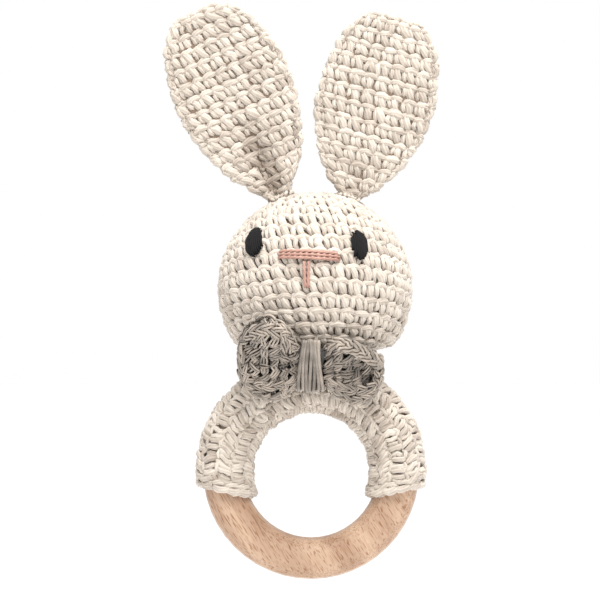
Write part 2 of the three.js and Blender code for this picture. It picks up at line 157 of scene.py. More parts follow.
# The bow's yarn is finer, and each of its stitches is a loose pair of fine strands that leans its own way.
BOW_WING_START = 4.0 * MM
BOW_WING_END = 0.992
BOW_STRAND_RADIUS = 0.37 * MM
BOW_STRAND_WAVINESS = 0.12 * MM
BOW_BACKING_DEPTH = 1.7 * MM
# The wings' ground is dark: painted shade in the gaps between the loose strands.
BOW_WING_GROUND_SHADE_TONE = 0.36
BOW_STITCH_LENGTH = 6.0 * MM
BOW_STITCH_SPACING = 3.6 * MM
BOW_STITCH_SPREAD = 0.12
BOW_STITCH_LIFTS = [-2.6, -0.5, 0.0, -0.5, -2.6]
BOW_COLUMNS = 6
BOW_LEANS = {"left": (math.radians(-38), math.radians(44)), "right": (math.radians(-52), math.radians(-36))}
BOW_LEAN_SPREADS = {"left": math.radians(28), "right": math.radians(13)}
# The dents pressed into the wings; the darkening of each dent's hollow is painted shade.
WING_DENTS = {
    "left": {"heights": (35, 35), "middle": 0.5, "length": 0.26, "width": 4 * MM,
             "depth": 1.6 * MM, "dark": 0.2},
    "right": {"heights": (36, 31.5), "middle": 0.66, "length": 0.3, "width": 3.4 * MM,
              "depth": 3.2 * MM, "dark": 0.28},
}

# The chains along each wing's edges: from one (turn, share of the length) to another, and the strands' size.
WING_CHAINS = {
    "left": [((0.24, 0.03), (0.26, 0.95), 1.0), ((0.34, 0.05), (0.32, 0.95), 1.0),
             ((0.30, 0.97), (0.72, 0.90), 1.0), ((0.76, 0.03), (0.74, 0.90), 1.0),
             ((0.68, 0.05), (0.68, 0.90), 1.0)],
    "right": [((0.23, 0.03), (0.26, 0.96), 1.1), ((0.31, 0.04), (0.38, 0.97), 1.25),
              ((0.32, 0.96), (0.70, 0.93), 1.0), ((0.76, 0.03), (0.74, 0.92), 1.0),
              ((0.69, 0.05), (0.66, 0.88), 1.0)],
}

# Half a link of those chains: along in links, out to its side in spreads, and lift in strand widths.
CHAIN_LINK = 3.3 * MM
CHAIN_SPREAD = 0.44
CHAIN_LIFT = 0.25 * MM
CHAIN_LEG = [(-0.15, 1.0, -1.1), (0.15, 1.0, 0.0), (0.55, 0.62, 0.5), (0.95, 0.22, 0.2), (1.25, 0.0, -1.2)]

# The yarn wound round the bow's middle: half widths at the bottom and the top.
KNOT_STRANDS = 7
KNOT_STRAND_RADIUS = 0.62 * MM
KNOT_HALF_WIDTHS = (4.5 * MM, 2.7 * MM)
KNOT_MARGIN = 1.35 * MM
KNOT_BULGE = 0.35 * MM
KNOT_WANDER = 0.25 * MM
KNOT_SHIFT = -0.3 * MM

# The doubled yarn behind the bow, in mm.
BOW_SEWING_ROUTE = [(-5.5, -19, 37.4), (-5.8, -15.5, 37.9), (0, -13.6, 38), (5.8, -15.5, 37.9),
                    (5.5, -19, 37.4)]
BOW_SEWING_RADIUS = 0.26 * MM
BOW_SEWING_SPACING = 0.5 * MM

# The embroidered face, by angles in degrees on the head's ball, where longitude 0 is straight ahead.
EYES = {
    "left": {"latitude": 28.2, "longitude": -43.8, "tilt": math.radians(-27), "half_width": 3.1 * MM,
             "half_height": 5.4 * MM},
    "right": {"latitude": 26.1, "longitude": 28.7, "tilt": math.radians(8), "half_width": 2.65 * MM,
              "half_height": 5.1 * MM},
}
EYE_STRANDS = 9
EYE_STRAND_RADIUS = 0.5 * MM
EYE_LIFT = 0.35 * MM
EYE_BULGE = 0.35 * MM
EYE_SINK = 0.5 * MM
EYE_GROUND = [(0.9, -0.9 * MM), (0.9, 0.0), (0.5, 0.45 * MM), (0.05, 0.55 * MM)]
EYE_GROUND_SHADE_TONE = 0.7
FACE_YARN_RADIUS = 0.66 * MM
FACE_YARN_LIFT = 0.25 * MM
FACE_YARN_SINK = 1.6 * MM
NOSE_LATITUDE = 19.6
NOSE_RISE = 0.6
NOSE_DROP = 1.6
NOSE_LONGITUDES = (-24, 15.5)
NOSE_INSETS = {"lower": 0.8, "middle": 0.2, "upper": 0.8}
NOSE_SPACING = 1.7
NOSE_SPACING_RISE = 0.3
MOUTH_LATITUDES = (15.9, 0.5)
MOUTH_LONGITUDE = -5.4
MOUTH_HALF_WIDTH = 1.35
MOUTH_NARROWING = 0.75
MOUTH_SHIFT = 0.4

# The direction of the beech's grain, turned about the ring's axis.
GRAIN_ANGLE = math.radians(-58)

# The sleeve's tube, as in the CAD model.
TUBE_RADIUS = 9.6 * MM
SLEEVE_RADIUS = 28.1 * MM
SLEEVE_END_DISTANCE = 9 * MM
SLEEVE_END_SLOPE = math.radians(7)

# The points round each loop that rays find on a CAD node, and how often its points and the cloths'
# normals are averaged with their neighbours.
LOOP_POINTS = 160
LOOP_SOFTENING = 2
NORMAL_SOFTENING = 4
RAY_LENGTH = 0.2

# The stage: a pale floor that the bunny clears when it hangs below the ring, two lights and a camera.
FLOOR_HEIGHT = -0.157
FLOOR_HALF_WIDTH = 6.0
LIGHT_TARGET = (0, 0, 0.05)
LIGHTS = {
    "key": {"place": (0.12, -0.6, 0.75), "size": 0.5, "power": 8},
    "top": {"place": (0.1, -0.1, 0.9), "size": 0.6, "power": 6.5},
}
CAMERA_DISTANCE = 0.9
PICTURE_MIDDLE = (-3.6 * MM, 55.5 * MM)
PICTURE_WIDTH = 194.8 * MM

# ---- Stitch shapes ----

# A stitch's legs: each one's size, its flatness, and its route over its own cell. The route is across and
# along in cells from the middle, and the lift off the cloth in leg radii, where 0 is the top of the relief.
HEAD_LEGS = [
    (1.05, 0.66, [(-0.12, 0.6, -1.0), (-0.03, 0.42, -0.2), (0.08, 0.1, 0), (0.22, -0.26, -0.5),
                  (0.44, -0.54, -1.3)]),
    (0.8, 0.74, [(-0.44, 0.56, -1.1), (-0.42, 0.38, -0.3), (-0.36, 0.08, -0.2), (-0.26, -0.2, -0.7),
                 (-0.06, -0.46, -1.6)]),
    (0.9, 0.8, [(-0.6, 0.24, -1.7), (-0.4, 0.42, -0.5), (-0.04, 0.55, -0.1), (0.32, 0.48, -0.3),
                (0.6, 0.28, -1.4)]),
]
EAR_LEGS = [
    (1.08, 0.66, [(-0.24, 0.58, -1.1), (-0.12, 0.4, -0.25), (0.04, 0.1, 0), (0.2, -0.22, -0.4),
                  (0.42, -0.46, -1.3)]),
    (0.8, 0.74, [(-0.42, 0.44, -1.2), (-0.42, 0.26, -0.35), (-0.36, 0.02, -0.2), (-0.27, -0.2, -0.6),
                 (-0.12, -0.44, -1.6)]),
    (0.92, 0.8, [(-0.62, 0.32, -1.6), (-0.36, 0.44, -0.4), (0.0, 0.5, 0), (0.36, 0.46, -0.3),
                 (0.66, 0.38, -1.4)]),
]
SLEEVE_LEGS = [
    (1.05, 0.8, [(-0.5, 0.62, -1.9), (-0.42, 0.38, -0.4), (-0.24, 0.0, 0), (-0.02, -0.36, -0.4),
                 (0.12, -0.62, -1.9)]),
    (1.0, 0.8, [(0.0, 0.62, -1.9), (0.07, 0.38, -0.4), (0.22, 0.0, 0), (0.34, -0.34, -0.4),
                (0.4, -0.6, -1.9)]),
    (0.75, 0.8, [(-0.62, 0.26, -1.8), (-0.36, 0.43, -0.5), (0.0, 0.54, -0.1), (0.36, 0.46, -0.4),
                 (0.62, 0.28, -1.7)]),
]

# One link of the chain along the sleeve's end: across here is in edge units in from the end.
EDGE_LEGS = [
    (1.0, 0.85, [(0.9, -0.7, -1.2), (0.3, -0.4, -0.2), (0.1, 0, 0), (0.6, 0.34, -0.1), (1.6, 0.62, -1.2)]),
    (0.9, 0.85, [(2.2, -0.66, -1.2), (2.6, -0.36, -0.2), (2.5, 0, 0), (2.0, 0.34, -0.1), (1.5, 0.62, -1.2)]),
]


# ---- Numbers to shapes ----

def unit(field):
    """Vectors at length 1."""
    return field / np.maximum(np.linalg.norm(field, axis=-1, keepdims=True), 1e-12)


def smooth_path(controls, count):
    """Points evenly spaced in turn along a Catmull-Rom curve through the controls (..., control, 3)."""
    controls = np.asarray(controls, float)
    first = 2 * controls[..., :1, :] - controls[..., 1:2, :]
    last = 2 * controls[..., -1:, :] - controls[..., -2:-1, :]
    padded = np.concatenate([first, controls, last], axis=-2)
    turn = np.linspace(0, controls.shape[-2] - 1, count)
    start = np.minimum(turn.astype(int), controls.shape[-2] - 2)
    part = (turn - start)[:, None]
    a, b, c, d = (padded[..., start + step, :] for step in range(4))
    cubic = -a + 3 * b - 3 * c + d
    square = 2 * a - 5 * b + 4 * c - d
    return 0.5 * (2 * b + (c - a) * part + square * part**2 + cubic * part**3)


def vectors(*parts):
    """One array of vectors from arrays of their parts."""
    return np.stack(np.broadcast_arrays(*parts), axis=-1)


def round_turns(count):
    """Angles once round, evenly spaced."""
    return np.linspace(0, 2 * np.pi, count, endpoint=False)


def add_object(name, data):
    """A new object in the scene."""
    made = bpy.data.objects.new(name, data)
    bpy.context.scene.collection.objects.link(made)
    return made


def travelled(points):
    """The distance along each line of points (..., step, 3), from 0 at its start."""
    steps = np.linalg.norm(np.diff(points, axis=-2), axis=-1)
    return np.concatenate([0 * steps[..., :1], steps.cumsum(axis=-1)], axis=-1)


class Builder:
    """Collects the quads of one piece, each point with a tone and a distance along its yarn."""

    def __init__(self, name):
        self.name = name
        self.rng = np.random.default_rng(SEEDS.get(name, 0))
        self.points = []
        self.quads = []
        self.tones = []
        self.fibres = []
        self.count = 0

    def add(self, points, quads, tones, fibres=0.0):
        """Points, and quads that count from the first of them."""
        points = np.asarray(points, float).reshape(-1, 3)
        self.points.append(points)
        self.quads.append(quads.reshape(-1, 4) + self.count)
        self.tones.append(np.broadcast_to(tones, len(points)))
        self.fibres.append(np.broadcast_to(fibres, len(points)))
        self.count += len(points)

    def add_tube(self, grid, tones, closed=False):
        """A tube of points (along, round, 3), which may close on itself along too."""
        rows, columns = grid.shape[:2]
        row = np.arange(rows if closed else rows - 1)[:, None]
        column = np.arange(columns)
        next_row = (row + 1) % rows
        next_column = (column + 1) % columns
        corners = [row * columns + column, row * columns + next_column,
                   next_row * columns + next_column, next_row * columns + column]
        self.add(grid, np.stack(corners, axis=-1), tones)

    def make(self, yarn, body=None, node=None):
        """The piece, in one of the yarns, on its body and for the CAD node that it stands for."""
        points = np.concatenate(self.points)
        quads = np.concatenate(self.quads)
        mesh = bpy.data.meshes.new(self.name)
        mesh.vertices.add(len(points))
        mesh.vertices.foreach_set("co", points.astype(np.float32).ravel())
        mesh.loops.add(quads.size)
        mesh.loops.foreach_set("vertex_index", quads.astype(np.int32).ravel())
        mesh.polygons.add(len(quads))
        mesh.polygons.foreach_set("loop_start", np.arange(0, quads.size, 4, dtype=np.int32))
        mesh.polygons.foreach_set("use_smooth", np.ones(len(quads), bool))
        for label, values in (("tone", self.tones), ("fibre", self.fibres)):
            layer = mesh.attributes.new(label, "FLOAT", "POINT")
            layer.data.foreach_set("value", np.concatenate(values).astype(np.float32))
        mesh.update(calc_edges=True)
        mesh.validate()
        mesh.materials.append(YARNS[yarn])
        piece = add_object(self.name, mesh)
        if body:
            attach(piece, body)
        if node:
            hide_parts(node)
        return piece


def add_yarns(builder, centres, facings, radius, lobes=6, turn=0.5, tones=1.0, flatness=0.85, ends=0.55,
              groove=0.28, valley_painted_shade=0.76, end_painted_shade=0.2):
    """Yarns along centres (yarn, step, 3), flattened on the side that they face. Each is one body with
    a ridge for every ply, and the plies turn slowly round it. The valleys between the plies are grooved
    and darkened as painted shade, and the ends are drawn in and darkened as painted shade where they sink
    in."""
    yarns, steps = centres.shape[:2]
    sides = lobes * 2
    radius = np.reshape(radius, (-1, 1))
    along = unit(np.gradient(centres, axis=1))
    across = unit(np.cross(along, facings))
    out = np.cross(across, along)
    share = np.linspace(0, 1, steps)
    swell = ends + (1 - ends) * np.sin(np.pi * share) ** 0.5
    ring = np.arange(sides)
    on_ridge = ring % 2 == 0
    length = travelled(centres)
    phase = np.random.default_rng(yarns).uniform(0, 2 * np.pi, (yarns, 1))
    angles = (turn * length / radius / 2 + phase)[..., None] + ring / sides * 2 * np.pi
    reach = (radius * swell)[..., None] * np.where(on_ridge, 1.0, 1.0 - groove)
    sideways = (np.cos(angles) * reach)[..., None] * across[:, :, None, :]
    upright = (np.sin(angles) * reach * flatness)[..., None] * out[:, :, None, :]
    points = centres[:, :, None, :] + sideways + upright
    base = (np.arange(yarns)[:, None, None] * steps + np.arange(steps - 1)[None, :, None]) * sides
    here = base + ring
    beside = base + (ring + 1) % sides
    walls = np.stack([here, beside, beside + sides, here + sides], axis=-1).reshape(-1, 4)
    pairs = np.arange(1, sides // 2)
    fan = np.stack([0 * pairs, 2 * pairs - 1, 2 * pairs, 2 * pairs + 1], axis=-1)
    first = (np.arange(yarns) * steps * sides)[:, None, None]
    last = first + (steps - 1) * sides
    caps = np.concatenate([(first + fan[:, ::-1]).reshape(-1, 4), (last + fan).reshape(-1, 4)])
    # The ends darken where they sink into the cloth, and the valleys between the plies darken: painted
    # shade.
    end_shade = 1 - end_painted_shade * (1 - np.sin(np.pi * share)) ** 2
    shade = np.reshape(tones, (-1, 1, 1)) * end_shade[:, None] * np.where(on_ridge, 1.0, valley_painted_shade)
    shade, fibre, _ = np.broadcast_arrays(shade, (length / MM)[..., None], angles)
    builder.add(points, np.concatenate([walls, caps]), shade.ravel(), fibre.ravel())


class Cloth:
    """A curved surface, kept as a fine grid of points (along, across, 3), that stitches lie on. It wraps
    round along or across. Stitches may overhang its open ends, or fold over the last one on to its
    other side."""

    def __init__(self, grid, wraps=(False, True), overhangs=False, folds_over=False, shade=1.0):
        self.grid = grid
        self.wraps = wraps
        self.overhangs = overhangs
        self.folds_over = folds_over
        self.shade = np.broadcast_to(shade, grid.shape[:2])
        along, across = (self.shifted(grid, axis, -1) - self.shifted(grid, axis, 1) for axis in (0, 1))
        self.normals = unit(np.cross(across, along))
        outward = grid - grid.mean(axis=wraps.index(True), keepdims=True)
        if (self.normals * outward).sum() < 0:
            self.normals = -self.normals
        for _ in range(NORMAL_SOFTENING):
            beside = [self.shifted(self.normals, axis, step) for axis in (0, 1) for step in (-1, 0, 1)]
            self.normals = unit(sum(beside))

    def shifted(self, field, axis, step):
        """A field moved along an axis, where an open edge repeats itself."""
        count = field.shape[axis]
        places = np.arange(count) - step
        places = places % count if self.wraps[axis] else places.clip(0, count - 1)
        return field.take(places, axis)

    def at(self, across, along, lift):
        """Places at shares of the way across and along, raised off the surface, and their normals."""
        if self.folds_over:
            beyond = along > 1
            across = np.where(beyond, 1 - across, across)
            along = np.where(beyond, 2 - along, along)
        index = []
        for share, size, wraps in zip((along, across), self.grid.shape, self.wraps):
            if not (wraps or self.overhangs):
                share = np.clip(share, 0, 1)
            scaled = share * size if wraps else share * (size - 1)
            low = np.floor(scaled).astype(int)
            low = low if wraps else np.clip(low, 0, size - 2)
            index.append((low % size, (low + 1) % size, (scaled - low)[..., None]))
        (row, next_row, v), (column, next_column, u) = index
        found = []
        for field in (self.grid, self.normals):
            near = field[row, column] * (1 - u) + field[row, next_column] * u
            far = field[next_row, column] * (1 - u) + field[next_row, next_column] * u
            found.append(near * (1 - v) + far * v)
        normal = unit(found[1])
        return found[0] + normal * np.asarray(lift)[..., None], normal

    def tone_at(self, across, along):
        """How dark the cloth is at shares of the way across and along: its plain tone, with painted shade in
        its hollows.
        """
        rows, columns = self.shade.shape
        row = np.clip(np.round(along * (rows - 1)).astype(int), 0, rows - 1)
        return self.shade[row, np.round(across * columns).astype(int) % columns]

    def inset(self, depth):
        """The ground under the stitches, on every second line of the grid."""
        return (self.grid - self.normals * depth)[:, ::2]

    def lengths(self):
        """How far each row is along the cloth, from its first one."""
        steps = np.linalg.norm(np.diff(self.grid, axis=0), axis=-1).mean(axis=1)
        return np.concatenate([[0], steps.cumsum()])

    def girth(self, row):
        """The distance once round a row of the grid."""
        line = self.grid[row]
        return np.linalg.norm(line - np.roll(line, 1, axis=0), axis=-1).sum()


def stitch(builder, cloth, cells, legs, radius, jitter, lift, steps=7, tone=0.05, lobes=6):
    """Works legs over cells: an array of (across, along, cell width, cell height) shares."""
    rng = builder.rng
    cells = np.asarray(cells, float)
    cell_tone = cloth.tone_at(cells[:, 0], cells[:, 1]) * (1 + rng.normal(0, tone, len(cells)))
    for size, flatness, leg in legs:
        route = np.tile(leg, (len(cells), 1, 1))
        route[..., :2] += rng.normal(0, jitter, route[..., :2].shape)
        route[..., 2] += rng.normal(0, jitter * 2, (len(cells), 1))
        path = smooth_path(route, steps)
        across = cells[:, None, 0] + path[..., 0] * cells[:, None, 2]
        along = cells[:, None, 1] + path[..., 1] * cells[:, None, 3]
        centres, facings = cloth.at(across, along, (path[..., 2] - 1) * radius + lift)
        sizes = radius * size * (1 + rng.normal(0, LEG_RADIUS_SPREAD, len(cells)))
        add_yarns(builder, centres, facings, sizes, lobes=lobes, flatness=flatness,
                  tones=cell_tone * (1 + rng.normal(0, tone / 2, len(cells))))


def round_cells(cloth, width, height, shift, end=1.0):
    """Cells in rounds, for a surface that closes on itself across: as many as fit each round."""
    travel = cloth.lengths()
    length = travel[-1]
    shares = np.linspace(0, 1, len(travel))
    count = round(end * length / height)
    cells = []
    for row in range(count):
        middle = end * (row + 0.5) / count
        along = np.interp(middle * length, travel, shares)
        span = np.interp((middle + end / count) * length, travel, shares) - along
        girth = cloth.girth(round(along * (len(shares) - 1)))
        number = max(FEWEST_STITCHES, round(girth / width))
        for step in range(number):
            cells.append(((step + 0.5 + shift * row) / number, along, 1 / number, span))
    return np.array(cells)


# ---- Materials ----

def new_material(name, values):
    """A material, its node tree and its shader, which gets the plain values."""
    material = bpy.data.materials.new(name)
    material.use_nodes = True
    shader = material.node_tree.nodes["Principled BSDF"]
    for label, value in values.items():
        shader.inputs[label].default_value = value
    return material, material.node_tree, shader


def add_node(tree, kind, inputs, **settings):
    """A shader node, whose inputs take either plain values or other nodes' outputs."""
    made = tree.nodes.new(kind)
    for label, value in settings.items():
        setattr(made, label, value)
    for label, value in inputs.items():
        if isinstance(value, bpy.types.NodeSocket):
            tree.links.new(value, made.inputs[label])
        else:
            made.inputs[label].default_value = value
    return made


def math_result(tree, operation, *values):
    """The result of a math operation on values or other nodes' outputs."""
    return add_node(tree, "ShaderNodeMath", dict(enumerate(values)), operation=operation).outputs[0]


def mesh_value(tree, name):
    """A value that the mesh keeps for each of its points."""
    return add_node(tree, "ShaderNodeAttribute", {}, attribute_name=name).outputs["Fac"]


def object_place(tree):
    """Where a point is on its own piece."""
    return add_node(tree, "ShaderNodeTexCoord", {}).outputs["Object"]


def noise(tree, place, scale, detail, rough=0.5):
    """Cloudy noise from 0 to 1, with so many features to a metre."""
    inputs = {"Vector": place, "Scale": scale, "Detail": detail, "Roughness": rough}
    return add_node(tree, "ShaderNodeTexNoise", inputs).outputs["Fac"]


def colour_ramp(tree, source, *stops):
    """Colours between two stops of (value, colour), by the source's value."""
    made = add_node(tree, "ShaderNodeValToRGB", {"Fac": source})
    for element, (position, colour) in zip(made.color_ramp.elements, stops):
        element.position = position
        element.color = (*colour, 1)
    return made.outputs["Color"]


def finish_shader(tree, shader, colour, height, strength, depth):
    """Gives a shader its colour, and a fine relief of a height up to a depth."""
    tree.links.new(colour, shader.inputs["Base Color"])
    relief = add_node(tree, "ShaderNodeBump", {"Strength": strength, "Distance": depth, "Height": height})
    tree.links.new(relief.outputs["Normal"], shader.inputs["Normal"])


def yarn_material(name, colour, dark, roughness=0.9, sheen=0.25, gloss=0.25):
    """Spun cotton, ramped from its dark to its colour by each point's tone, which holds each stitch's own
    random tone and painted shade in gaps, ply valleys, sunk ends and hollows. Fine fibre lines add relief
    and a little painted shade in their grooves, with a soft fuzz.
    """
    material, tree, shader = new_material(name, {
        "Roughness": roughness, "Sheen Weight": sheen, "Sheen Roughness": 0.5, "Specular IOR Level": gloss})
    place = object_place(tree)
    mottle = noise(tree, place, scale=260, detail=3)
    fuzz = noise(tree, place, scale=900, detail=4, rough=0.7)
    fibre_wave = math_result(tree, "SINE", mesh_value(tree, "fibre"))
    ridges = math_result(tree, "MULTIPLY_ADD", fibre_wave, 0.25, fuzz)
    blotches = math_result(tree, "MULTIPLY_ADD", mottle, 0.35, -0.22)
    tone = math_result(tree, "ADD", mesh_value(tree, "tone"), blotches)
    # The fibre ridges darken the colour a little in their grooves: painted shade.
    shade = math_result(tree, "MULTIPLY_ADD", ridges, 0.10, tone)
    finish_shader(tree, shader, colour_ramp(tree, shade, (0.45, dark), (1, colour)), ridges, 0.35, 0.12 * MM)
    return material


# Each yarn's second colour is the dark end of its ramp, which the painted shade in the tones runs towards.
YARNS = {
    "cream_yarn": yarn_material("cream_cotton", (0.60, 0.535, 0.462), (0.20, 0.145, 0.105)),
    "grey_yarn": yarn_material("grey_cotton", (0.358, 0.300, 0.246), (0.014, 0.011, 0.008),
                               gloss=0.5, roughness=0.4, sheen=0.1),
    "black_yarn": yarn_material("black_cotton", (0.012, 0.011, 0.011), (0.006, 0.006, 0.006),
                                gloss=0.1, roughness=0.8, sheen=0.02),
    "pink_yarn": yarn_material("pink_cotton", (0.53, 0.315, 0.25), (0.20, 0.095, 0.07),
                               roughness=0.6, sheen=0.15),
}


def beech_material():
    """Sanded beech: a straight grain that crosses the ring, with short dark flecks along it."""
    material, tree, shader = new_material("beech", {"Roughness": 0.42, "Specular IOR Level": 0.35})
    turn = {"Vector": object_place(tree), "Rotation": (0, GRAIN_ANGLE, 0)}
    turned = add_node(tree, "ShaderNodeMapping", turn).outputs["Vector"]

    def grain(along, across, detail, rough=0.5):
        stretch = {"Vector": turned, "Scale": (along, across, across)}
        stretched = add_node(tree, "ShaderNodeMapping", stretch).outputs["Vector"]
        return noise(tree, stretched, 1, detail, rough)

    bands = grain(18, 150, detail=4)
    pores = grain(170, 1500, detail=2, rough=0.6)
    flecks = grain(330, 2700, detail=0)
    colour = colour_ramp(tree, bands, (0.32, (0.325, 0.202, 0.13)), (0.66, (0.485, 0.34, 0.237)))
    for layer in (colour_ramp(tree, pores, (0.34, (0.84, 0.77, 0.72)), (0.52, (1, 1, 1))),
                  colour_ramp(tree, flecks, (0.61, (1, 1, 1)), (0.70, (0.64, 0.52, 0.42)))):
        mix = add_node(tree, "ShaderNodeMix", {}, data_type="RGBA", blend_type="MULTIPLY")
        mix.inputs[0].default_value = 1.0
        tree.links.new(colour, mix.inputs[6])
        tree.links.new(layer, mix.inputs[7])
        colour = mix.outputs[2]
    finish_shader(tree, shader, colour, pores, 0.12, 0.1 * MM)
    return material


def plain_material(name, colour, roughness, scale, amount):
    """A plain finish whose colour wavers a little."""
    material, tree, shader = new_material(name, {"Roughness": roughness})
    darker = [part * (1 - amount) for part in colour]
    waver = noise(tree, object_place(tree), scale, detail=4)
    tree.links.new(colour_ramp(tree, waver, (0, darker), (1, colour)), shader.inputs["Base Color"])
    return material


def dress_nodes():
    """Gives the CAD nodes that stay in the scene their materials."""
    finishes = {
        "wood_ring": beech_material(),
        "stuffing": plain_material("fibre_filling", (0.8, 0.8, 0.78), 1.0, 400, 0.2),
        "capsule": plain_material("capsule_plastic", (0.62, 0.66, 0.7), 0.35, 60, 0.05),
        "bead": plain_material("bead_plastic", (0.55, 0.6, 0.64), 0.3, 200, 0.05),
    }
    for name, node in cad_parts.items():
        for start, material in finishes.items():
            if name.startswith(start):
                node.data.materials.clear()
                node.data.materials.append(material)


# ---- The CAD frame's surfaces ----

def node_tree(name):
    """A CAD node's faces, for rays, and its points in the row frame."""
    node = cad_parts[name]
    points = [node.matrix_world @ vertex.co for vertex in node.data.vertices]
    faces = [tuple(face.vertices) for face in node.data.polygons]
    return BVHTree.FromPolygons(points, faces), np.array(points)


def even_loop(loop, count):
    """A closed loop of points, spaced evenly along its length."""
    closed = np.concatenate([loop, loop[:1]])
    travel = travelled(closed)
    places = np.linspace(0, travel[-1], count, endpoint=False)
    return np.stack([np.interp(places, travel, part) for part in closed.T], axis=-1)


def wrap_node(tree, centres, sideways, upright):
    """Loops of points on a node's surface, found by rays from centres inside it. Each loop starts
    opposite to sideways and passes upright first."""
    turns = round_turns(LOOP_POINTS)
    rings = []
    for centre in centres:
        ring = []
        for turn in turns:
            ray = -math.cos(turn) * np.array(sideways) + math.sin(turn) * np.array(upright)
            hit = tree.ray_cast(Vector(centre), Vector(ray), RAY_LENGTH)[0]
            ring.append(centre if hit is None else np.array(hit))
        ring = even_loop(np.array(ring), LOOP_POINTS)
        for _ in range(LOOP_SOFTENING):
            ring = (np.roll(ring, 1, axis=0) + 2 * ring + np.roll(ring, -1, axis=0)) / 4
        rings.append(ring)
    return np.array(rings)


# ---- The head ----

HEAD_LOW, HEAD_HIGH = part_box("head_shell")
HEAD_RADIUS = (HEAD_HIGH.x - HEAD_LOW.x) / 2
HEAD_CENTRE = np.array([(HEAD_LOW.x + HEAD_HIGH.x) / 2, 0, HEAD_HIGH.z - HEAD_RADIUS])
HEAD_BASE_DROP = HEAD_CENTRE[2] - HEAD_LOW.z


def head_cloth():
    """The outside of the CAD head, as a grid round the crochet's own leaning pole."""
    latitude = np.radians(np.linspace(90, -90, 121))[:, None]
    longitude = np.radians(np.linspace(0, 360, 240, endpoint=False))[None, :]
    x = np.cos(latitude) * np.sin(longitude)
    y = -np.cos(latitude) * np.cos(longitude)
    z = np.sin(latitude)
    c, s = math.cos(HEAD_POLE_LEAN), math.sin(HEAD_POLE_LEAN)
    heading = vectors(x, c * y - s * z, s * y + c * z)
    flat = HEAD_BASE_DROP / np.maximum(-heading[..., 2], 1e-6)
    sharpness = 18
    reach = (HEAD_RADIUS**-sharpness + flat**-sharpness) ** (-1 / sharpness)
    return Cloth(HEAD_CENTRE + heading * reach[..., None])


def on_head(latitude, longitude, above):
    """Places on the head's ball, with angles in degrees, at a height above it."""
    north, east = np.radians(latitude), np.radians(longitude)
    heading = vectors(np.cos(north) * np.sin(east), -np.cos(north) * np.cos(east), np.sin(north))
    return HEAD_CENTRE + heading * (HEAD_RADIUS + np.asarray(above))[..., None]


def make_head():
    """The head's rounds of crochet, over their darker ground."""
    cloth = head_cloth()
    builder = Builder("head_crochet")
    cells = round_cells(cloth, STITCH_WIDTH, ROW_HEIGHT, shift=0.2, end=HEAD_ROUNDS_END)
    cells[:, 3] *= -1
    stitch(builder, cloth, cells, HEAD_LEGS, LEG_RADIUS, jitter=0.046, lift=HEAD_PUFF)
    # The ground's dark tone is painted shade in the gaps between the stitches.
    builder.add_tube(cloth.inset(BACKING_DEPTH), BACKING_SHADE_TONE)
    head = builder.make("cream_yarn", "head", "head_shell")


# ---- The ears ----

def ear_frame(side):
    """An ear's own upright and sideways directions."""
    lean = EAR_LEANS[side]
    return np.array([math.sin(lean), 0, math.cos(lean)]), np.array([math.cos(lean), 0, -math.sin(lean)])


def close_tip(grid, upright):
    """An ear's loops, carried on over its tip until they meet in a ridge."""
    last = grid[-1]
    centre = last.mean(axis=0)
    outward = last - centre
    turns = np.linspace(0, np.pi / 2, 12)[1:, None, None]
    narrowing = EAR_TIP_NARROWING + (1 - EAR_TIP_NARROWING) * np.cos(turns)
    thinning = EAR_TIP_THICKNESS + (1 - EAR_TIP_THICKNESS) * np.cos(turns)
    shape = outward * narrowing * (np.array([1, 0, 1]) + np.array([0, 1, 0]) * thinning)
    return np.concatenate([grid, centre + shape + upright * EAR_TIP_RISE * np.sin(turns)])


def ear_cloth(side):
    """Both faces of an ear, as loops round it from its base to its tip. The base runs down to the
    head, and is folded in along its middle where it is pinched together."""
    upright, sideways = ear_frame(side)
    tree, points = node_tree(f"{side}_ear")
    middle = points.mean(axis=0) * (1, 0, 1)
    heights = (points - middle) @ upright
    spread = np.linspace(heights.min() + EAR_BASE_MARGIN, heights.max() - EAR_TIP_RISE, 90)
    grid = wrap_node(tree, middle + spread[:, None] * upright, sideways, (0, -1, 0))
    height = (spread - spread[0])[:, None]
    base = np.exp(-((height / EAR_BASE_LENGTH) ** 2))
    across = (grid - middle) @ sideways
    fold = EAR_FOLDS[side]
    hollow = np.exp(-(((across - fold["offset"]) / fold["width"]) ** 2))
    hollow = hollow * np.exp(-(((height - fold["height"]) / fold["length"]) ** 2))
    facing = np.where(grid[..., 1] < 0, 1.0, EAR_FOLD_BACK)
    grid[..., 1] += fold["depth"] * hollow * facing
    # The fold's hollow is darkened: painted shade.
    shade = 1 - fold["dark"] * hollow
    grid += (across * (EAR_WIDENING + base * EAR_BASE_SPREAD))[..., None] * sideways
    grid -= (base * EAR_BASE_DROP)[..., None] * upright
    closed = close_tip(grid, upright)
    shade = np.concatenate([shade, np.ones((len(closed) - len(shade), shade.shape[1]))])
    return Cloth(closed, folds_over=True, shade=shade)


def make_ear(side):
    """One ear's rounds of crochet, and the stitches that sew it to the head."""
    cloth = ear_cloth(side)
    builder = Builder(f"{side}_ear_crochet")
    cells = round_cells(cloth, EAR_STITCH_WIDTH, EAR_ROW_HEIGHT, shift=-0.2)
    stitch(builder, cloth, cells, EAR_LEGS, EAR_LEG_RADIUS, jitter=0.05, lift=EAR_PUFF)
    # The ground's dark tone is painted shade in the gaps between the stitches.
    builder.add_tube(cloth.inset(EAR_BACKING_DEPTH), BACKING_SHADE_TONE)
    ear = builder.make("cream_yarn", node=f"{side}_ear")
    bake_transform(ear)
    make_ear_seam(side, cloth)


# ---- The sleeve ----

def sleeve_end_angle(radius):
    """How far below the horizontal the sleeve's slanted end crosses a radius."""
    return np.arcsin(SLEEVE_END_DISTANCE / radius) - SLEEVE_END_SLOPE


